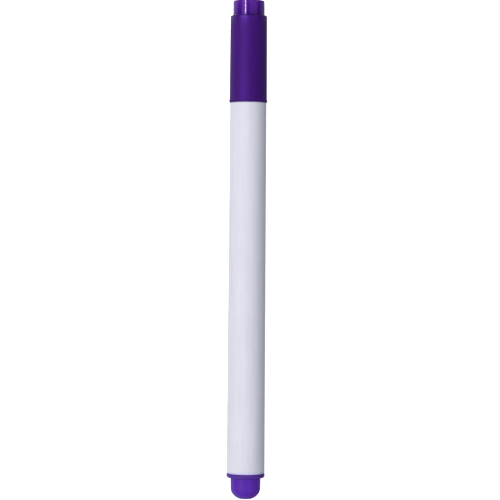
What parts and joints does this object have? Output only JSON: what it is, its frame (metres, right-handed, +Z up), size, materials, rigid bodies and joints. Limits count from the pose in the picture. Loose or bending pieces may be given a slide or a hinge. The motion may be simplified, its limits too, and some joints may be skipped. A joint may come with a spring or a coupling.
{
  "type": "fabric marking pen",
  "caption": "Slim capped fibre-tip pen for marking cloth: white barrel, purple pull-off cap with a stepped neck, purple round-ended tail plug, with the nib and ink reservoir inside.",
  "frame": {"origin": "on the pen's axis, midway between the tail tip and the cap's top", "axes": "+X along the pen's axis towards the tail, -X towards the cap and nib, +Z up with the pen lying on its side"},
  "size_m": [0.138, 0.0106, 0.0106],
  "materials": {
    "barrel_plastic": "satin, faintly mottled",
    "section_plastic": "satin",
    "nib_fibre": "dry bonded fibre stained with ink",
    "reservoir_fibre": "bonded fibre soaked with ink",
    "reservoir_film": "thin clear film",
    "plug_plastic": "satin",
    "cap_plastic": "moulded gloss",
    "seal_plastic": "soft natural plastic"
  },
  "bodies": {
    "pen_body": {"barrel": "barrel_plastic", "front_section": "section_plastic", "nib": "nib_fibre", "reservoir_fibre": "reservoir_fibre", "reservoir_film": "reservoir_film", "end_plug": "plug_plastic"},
    "cap": {"cap_shell": "cap_plastic", "cap_inner_seal": "seal_plastic"}
  },
  "joints": [
    {"name": "cap_pull", "type": "slide", "parent": "pen_body", "child": "cap", "axis": [-1, 0, 0], "range_m": [0, 0.024]}
  ]
}
